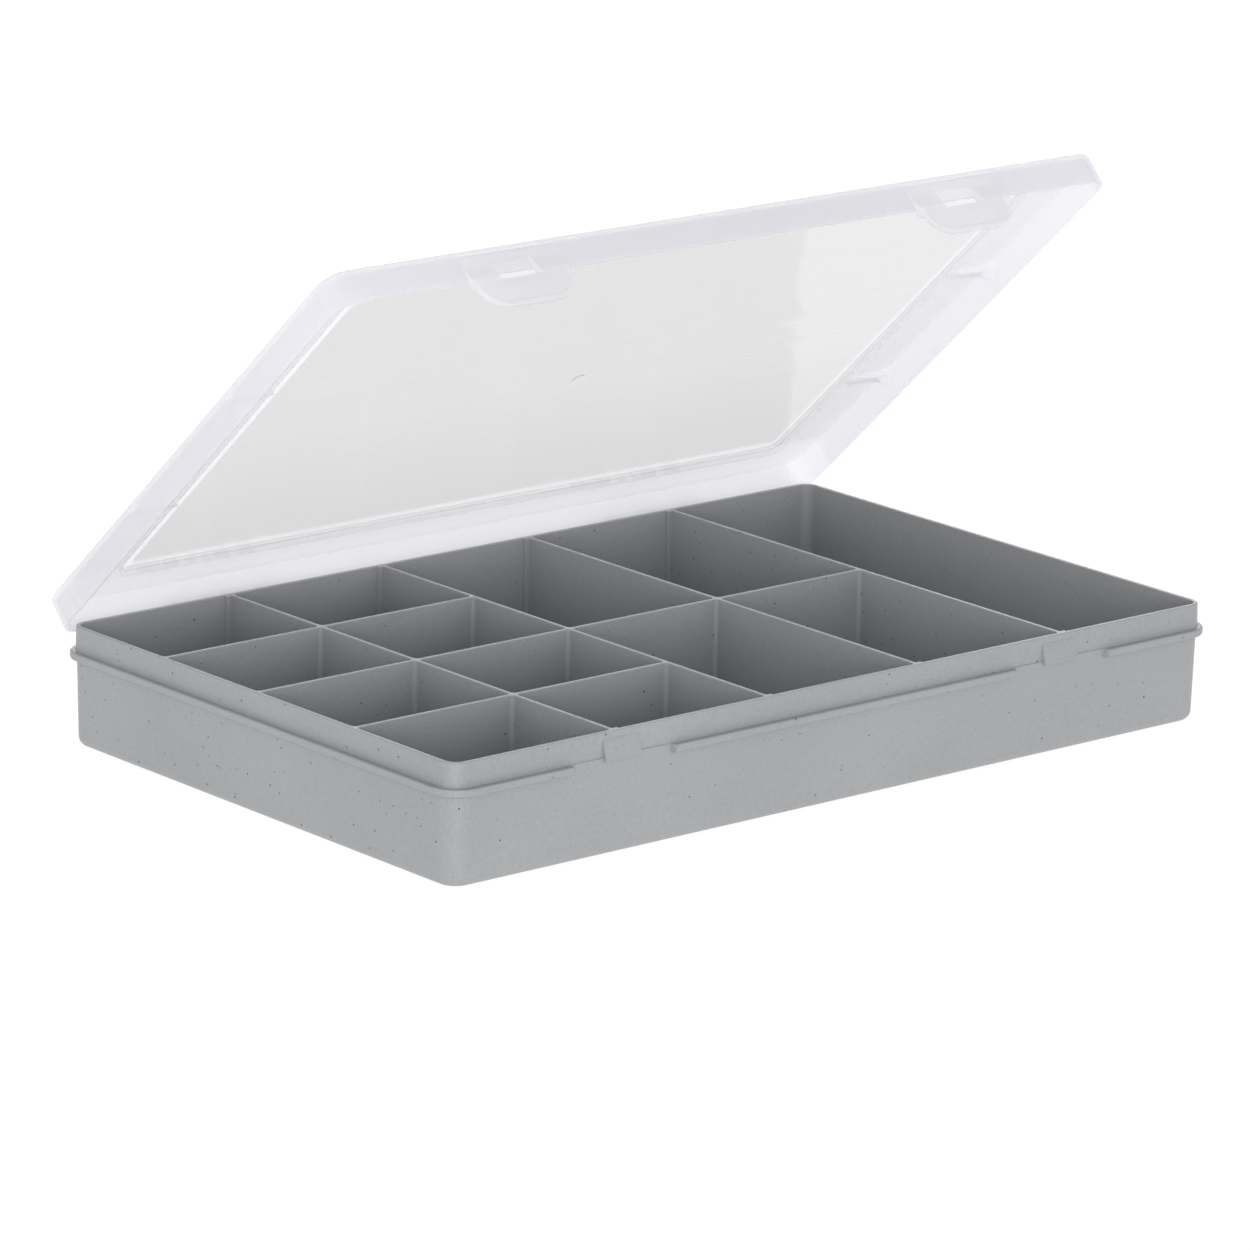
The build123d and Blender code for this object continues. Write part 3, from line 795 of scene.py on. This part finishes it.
def make_lid():
    """The lid's frosted border and skirt with its ribs and claws, cut out round the pull tabs."""
    bm = bmesh.new()
    skin(bm, [ring(half_x, half_y, radius, z) for half_x, half_y, radius, z in lid_section()], close=True)
    lid = add_piece(bm, "lid_moulding")
    combine(lid, make_gussets() + make_claws(), "UNION")
    cutters = []
    for x in (-FITTING_X, FITTING_X):
        half, low, high = TAB_HALF + TAB_SEAM, SKIRT_BOTTOM - 1, TAB_HIGH + TAB_TOP_SEAM
        sides = [(x - half, low), (x + half, low), (x + half, high), (x - half, high)]
        cutters.append(add_piece(slab(sides, SKIRT_IN - 0.5, LID_OUT + 1, across_y), "cutter"))
    combine(lid, cutters, "DIFFERENCE")
    lid.data.transform(OPEN_METRES)
    nodes = nodes_named("lid_border_") + nodes_named("lid_skirt_") + nodes_named("hinge_claw_")
    finish_piece(lid, "lid", "lid_frosted", frosted, "lid_gussets", *nodes)


def make_window():
    """The clear pane with its upturned edge under the border, and the moulding's gate mark."""
    edge, top = PANE_ROUND, BORDER_UNDER - HAIR
    profile = arc(LIP_WIDTH - edge, WINDOW_UNDER + edge, edge, -90, 0, 2)
    profile += arc(LIP_WIDTH - edge, top - edge, edge, 0, 90, 2) + arc(edge, top - edge, edge, 90, 180, 2)
    profile += arc(-edge, WINDOW_TOP + edge, edge, 0, -90, 2)
    bm = bmesh.new()
    rings = [ring(WINDOW_X + a, WINDOW_Y + a, WINDOW_RADIUS + a, z) for a, z in profile]
    loops = skin(bm, rings)
    bm.faces.new(loops[0])
    bm.faces.new(loops[-1])
    pane = add_piece(bm, "lid_window_pane")
    circle = arc(0, 0, GATE_RADIUS, 0, 345, 23)
    mark = slab(circle, WINDOW_TOP - GATE_SINK, WINDOW_TOP + GATE_RISE, level, bevel=0.25)
    combine(pane, [add_piece(mark, "mark")], "UNION")
    finish_piece(pane, "lid", "lid_clear", clear, "lid_window")
    pane.data.materials.append(clear_edge)
    for face in pane.data.polygons:
        middle = face.center / MM
        if abs(middle.x) > WINDOW_X - PANE_EDGE or abs(middle.y) > WINDOW_Y - PANE_EDGE:
            face.material_index = 1
    pane.data.transform(OPEN_METRES)


tray = make_tray()
combine(tray, make_posts(), "UNION")
finish_piece(
    tray, "tray", "tray_grey", grey, "tray_floor", "divider_posts",
    *nodes_named("tray_front_wall"), *nodes_named("tray_back_wall"), *nodes_named("tray_left_wall"),
    *nodes_named("tray_right_wall"), *nodes_named("lid_ledge_"), *nodes_named("long_divider_"),
    *nodes_named("front_row_"), *nodes_named("middle_row_"), *nodes_named("rear_row_"),
)
make_catches()
make_hinge_lugs()
make_lid()
make_window()
for hand, x in (("left", -FITTING_X), ("right", FITTING_X)):
    make_tab(hand, x)


# ---------------------------------------------------------------- surroundings

def make_floor():
    """A wide pale table under the box."""
    bm = bmesh.new()
    bmesh.ops.create_grid(bm, x_segments=8, y_segments=8, size=FLOOR_HALF)
    mesh = bpy.data.meshes.new("floor")
    bm.to_mesh(mesh)
    bm.free()
    mesh.materials.append(floor_white())
    floor = bpy.data.objects.new("floor", mesh)
    floor.location.z = -FLOOR_DROP
    bpy.context.scene.collection.objects.link(floor)


def make_world():
    """An even white studio all round."""
    world = bpy.data.worlds.new("studio")
    world.use_nodes = True
    tree = world.node_tree
    background = tree.nodes["Background"]
    background.inputs["Color"].default_value = (1, 1, 1, 1)
    split = tree.nodes.new("ShaderNodeSeparateXYZ")
    tree.links.new(tree.nodes.new("ShaderNodeTexCoord").outputs["Generated"], split.inputs[0])
    climb = tree.nodes.new("ShaderNodeMapRange")
    tree.links.new(split.outputs["Z"], climb.inputs["Value"])
    climb.inputs["To Min"].default_value = HORIZON_STRENGTH
    climb.inputs["To Max"].default_value = ZENITH_STRENGTH
    tree.links.new(climb.outputs[0], background.inputs["Strength"])
    bpy.context.scene.world = world


def make_light(name, place, size, power):
    """A square soft box that points at the origin."""
    light = bpy.data.lights.new(name, "AREA")
    light.shape = "SQUARE"
    light.size = size
    light.energy = power
    lamp = bpy.data.objects.new(name, light)
    lamp.location = place
    lamp.rotation_euler = (-Vector(place)).to_track_quat("-Z", "Y").to_euler()
    bpy.context.scene.collection.objects.link(lamp)


def make_camera():
    """A long lens from the front left, a little above the box."""
    camera = bpy.data.cameras.new("camera")
    camera.lens = CAMERA_LENS
    camera.sensor_width = SENSOR_WIDTH
    camera.clip_end = 50.0
    eye = bpy.data.objects.new("camera", camera)
    eye.matrix_world = (
        Matrix.Translation(CAMERA_PLACE)
        @ Matrix.Rotation(math.radians(-CAMERA_HEADING), 4, "Z")
        @ Matrix.Rotation(math.radians(90 - CAMERA_DROP), 4, "X")
        @ Matrix.Rotation(math.radians(CAMERA_ROLL), 4, "Z")
    )
    bpy.context.scene.collection.objects.link(eye)
    bpy.context.scene.camera = eye


make_floor()
make_world()
for name, settings in SOFT_BOXES.items():
    make_light(name, **settings)
make_camera()
bpy.context.scene.view_settings.view_transform = "Standard"
